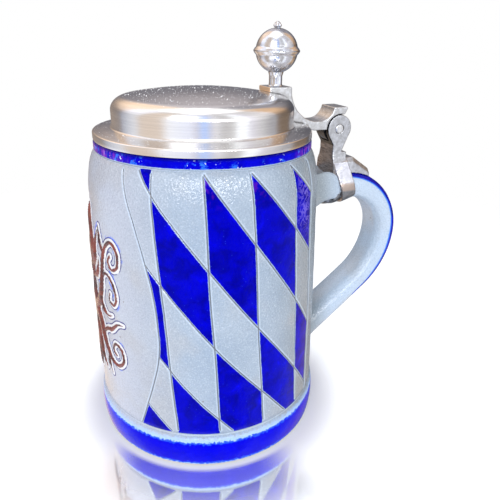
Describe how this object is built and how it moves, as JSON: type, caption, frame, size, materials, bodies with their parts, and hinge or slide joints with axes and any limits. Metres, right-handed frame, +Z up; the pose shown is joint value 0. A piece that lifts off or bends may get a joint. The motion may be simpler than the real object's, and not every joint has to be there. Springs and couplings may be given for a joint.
{
  "type": "beer stein",
  "caption": "Stoneware drinking stein with a loop handle, a hinged domed pewter lid opened by a ball thumblift, and a cobalt lozenge pattern on a pale salt glaze.",
  "frame": {"origin": "centre of the mug's foot, on the plane it stands on", "axes": "+Z up, +X from the mug's axis towards the handle and hinge, +Y along the hinge pin, so the front ornament faces -X"},
  "size_m": [0.1504, 0.1024, 0.1714],
  "materials": {
    "stoneware": "salt glaze, pale grey with cobalt blue areas",
    "pewter": "satin, turned and brushed",
    "pin_steel": "drawn wire"
  },
  "bodies": {
    "stein": {"mug": "stoneware", "handle_clamp": "pewter", "hinge_pin": "pin_steel", "pin_plug_near": "pewter", "pin_plug_far": "pewter"},
    "lid_assembly": {"lid": "pewter", "lid_shank": "pewter", "thumblift_post": "pewter", "ball_lower": "pewter", "ball_upper": "pewter", "finial": "pewter"}
  },
  "joints": [
    {"name": "lid_hinge", "type": "hinge", "parent": "stein", "child": "lid_assembly", "pos_m": [0.0614, 0, 0.1284], "axis": [0, 1, 0], "range_deg": [0, 115]}
  ]
}
